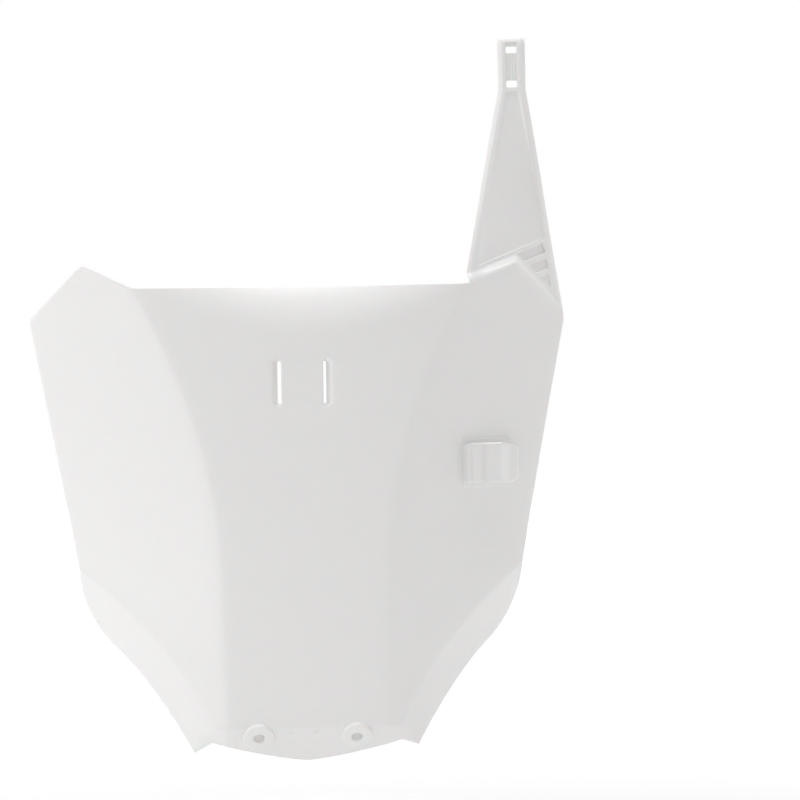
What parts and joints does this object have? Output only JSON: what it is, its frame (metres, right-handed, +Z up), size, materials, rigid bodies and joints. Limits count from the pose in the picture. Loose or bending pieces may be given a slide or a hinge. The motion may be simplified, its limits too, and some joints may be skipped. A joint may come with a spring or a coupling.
{
  "type": "racing number board",
  "caption": "White moulded front number board with swept-back wings and lip, strap slots, screw holes, a hose guide and a fixing arm rising from one top corner.",
  "frame": {"origin": "midway between the two screw holes, on the face of the bottom lip", "axes": "+X to the viewer's right across the face, +Y backwards towards the motorbike, +Z up along the face"},
  "size_m": [0.2538, 0.0565, 0.3387],
  "materials": {
    "white_polypropylene": "moulded satin gloss"
  },
  "bodies": {
    "root": {"number_board": "white_polypropylene"}
  },
  "joints": []
}
